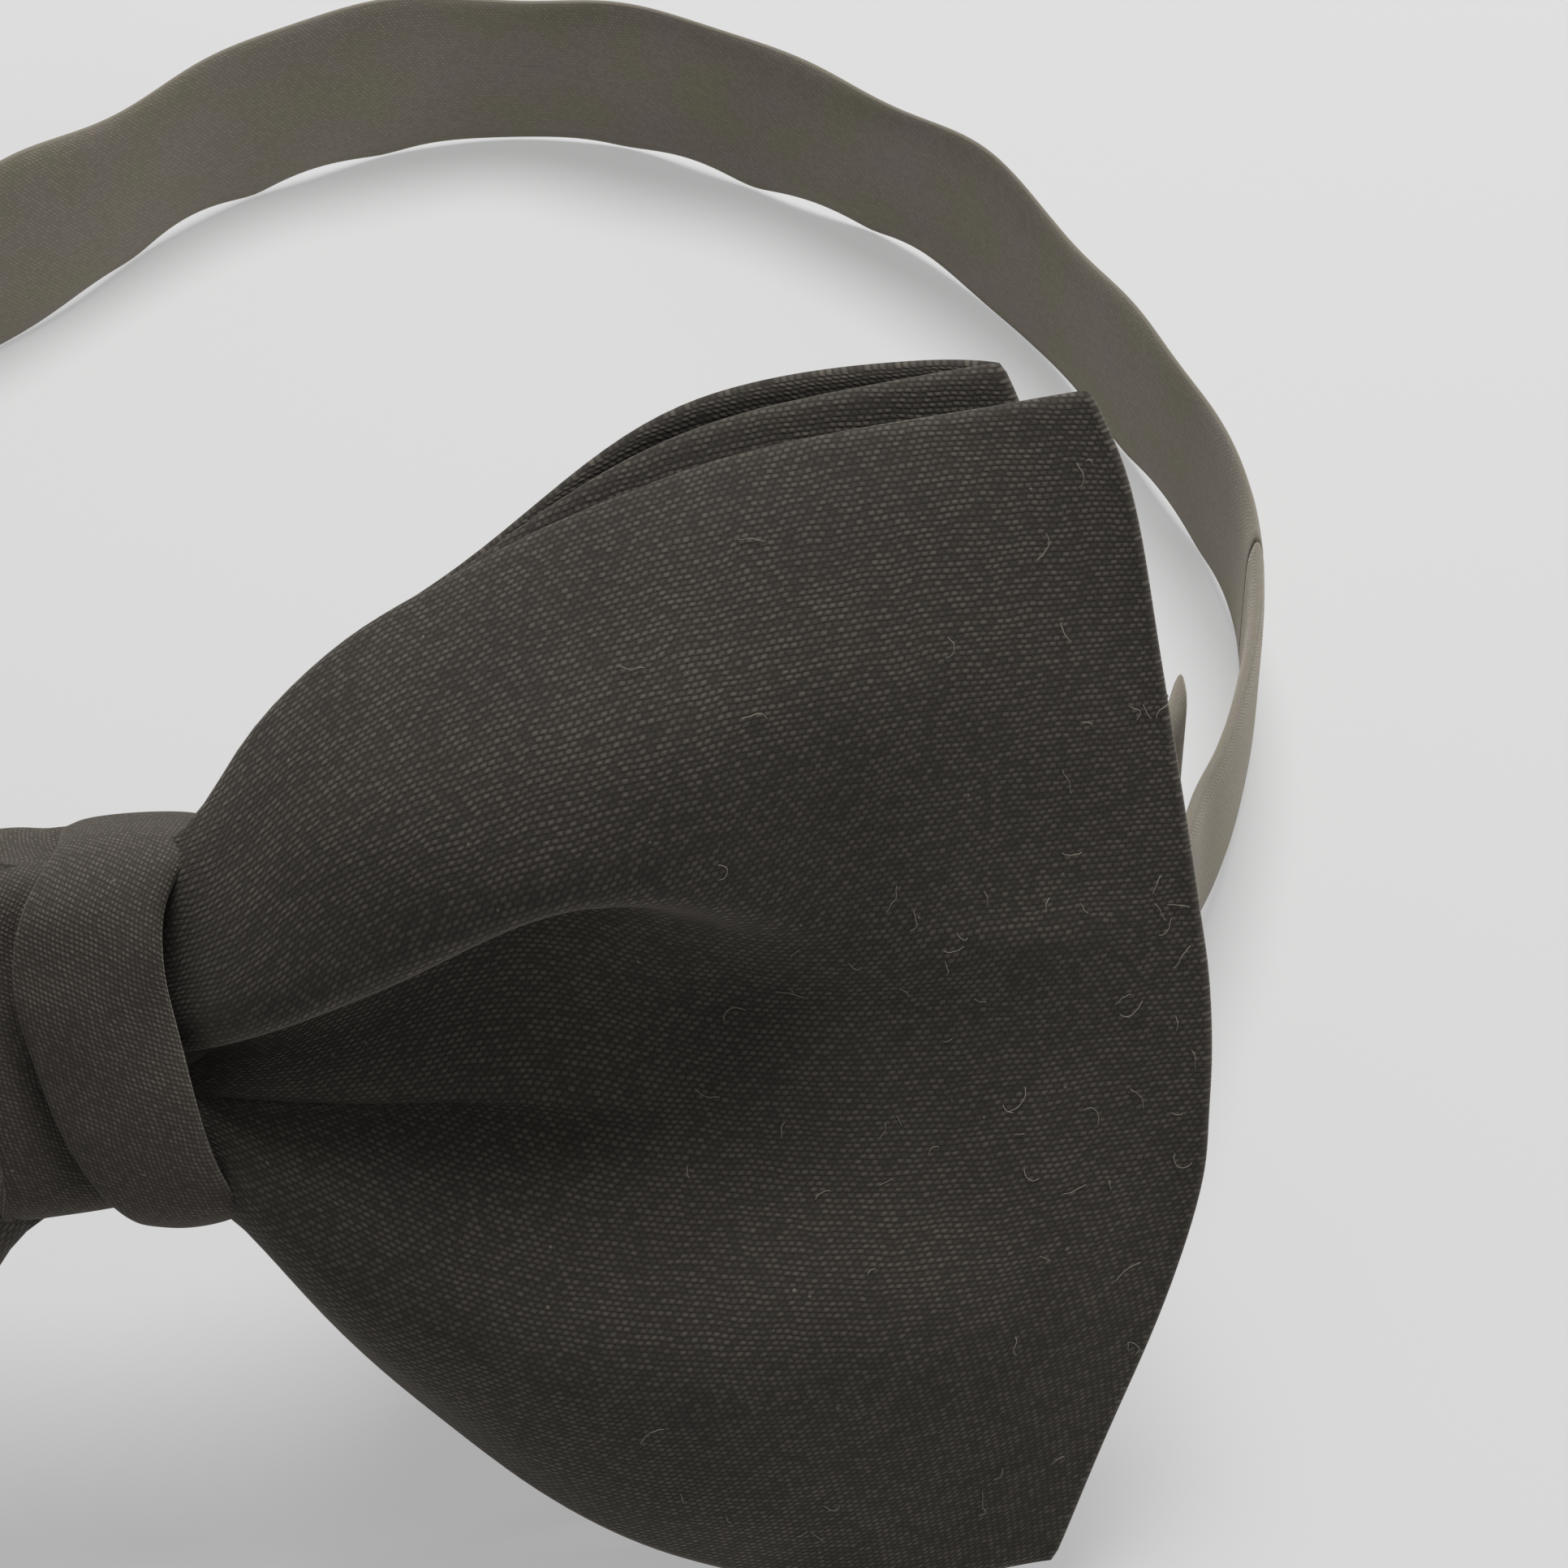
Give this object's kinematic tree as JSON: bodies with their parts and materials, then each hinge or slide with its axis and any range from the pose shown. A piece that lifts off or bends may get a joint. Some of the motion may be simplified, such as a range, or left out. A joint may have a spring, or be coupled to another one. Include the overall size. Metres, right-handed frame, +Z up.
{
  "type": "bow tie",
  "caption": "Pre-tied double bow tie in matte black cloth: pinched folded wings, a wrapped knot and an adjustable neckband with slider, hook and eye.",
  "frame": {"origin": "on the table under the middle of the tie's box, where the tie stands", "axes": "+Z up from the table, +X along the wings to the clasp side, -Y the way the bow faces"},
  "size_m": [0.1326, 0.1382, 0.0602],
  "materials": {
    "bow_cloth": "matte woven cloth",
    "knot_cloth": "matte woven cloth",
    "band_cloth": "soft matte woven cloth",
    "interlining": "stiff felted interlining",
    "wadding": "soft wadding",
    "thread": "polyester sewing thread",
    "black_metal": "black lacquered steel"
  },
  "bodies": {
    "bow_tie": {"front_bow_fabric": "bow_cloth", "front_bow_interlining": "interlining", "rear_bow_fabric": "bow_cloth", "rear_bow_interlining": "interlining", "waist_binding_thread": "thread", "knot_padding": "wadding", "knot_wrap": "knot_cloth", "wrap_seam_stitching": "thread", "neckband": "band_cloth", "eye_end_stitching": "thread"},
    "eye": {"eye": "black_metal"},
    "strap_end": {"adjustable_strap": "band_cloth", "tail_end_stitching": "thread"},
    "hook": {"hook": "black_metal"},
    "slider": {"slider": "black_metal"}
  },
  "joints": [
    {"name": "eye_swivel", "type": "hinge", "parent": "bow_tie", "child": "eye", "pos_m": [0.0153, -0.03572, 0.02561], "axis": [-0.164, -0.3339, -0.9283], "range_deg": [0, 12]},
    {"name": "strap_end_swing", "type": "hinge", "parent": "bow_tie", "child": "strap_end", "pos_m": [0.06507, -0.00183, 0.0075], "axis": [0, 0, -1], "range_deg": [0, 35]},
    {"name": "hook_swivel", "type": "hinge", "parent": "strap_end", "child": "hook", "pos_m": [0.02876, -0.03191, 0.02187], "axis": [-0.164, -0.3339, -0.9283], "range_deg": [0, 30]},
    {"name": "slider_travel", "type": "slide", "parent": "strap_end", "child": "slider", "axis": [0.9213, 0.0423, -0.3866], "range_m": [-0.0015, 0.003]}
  ]
}
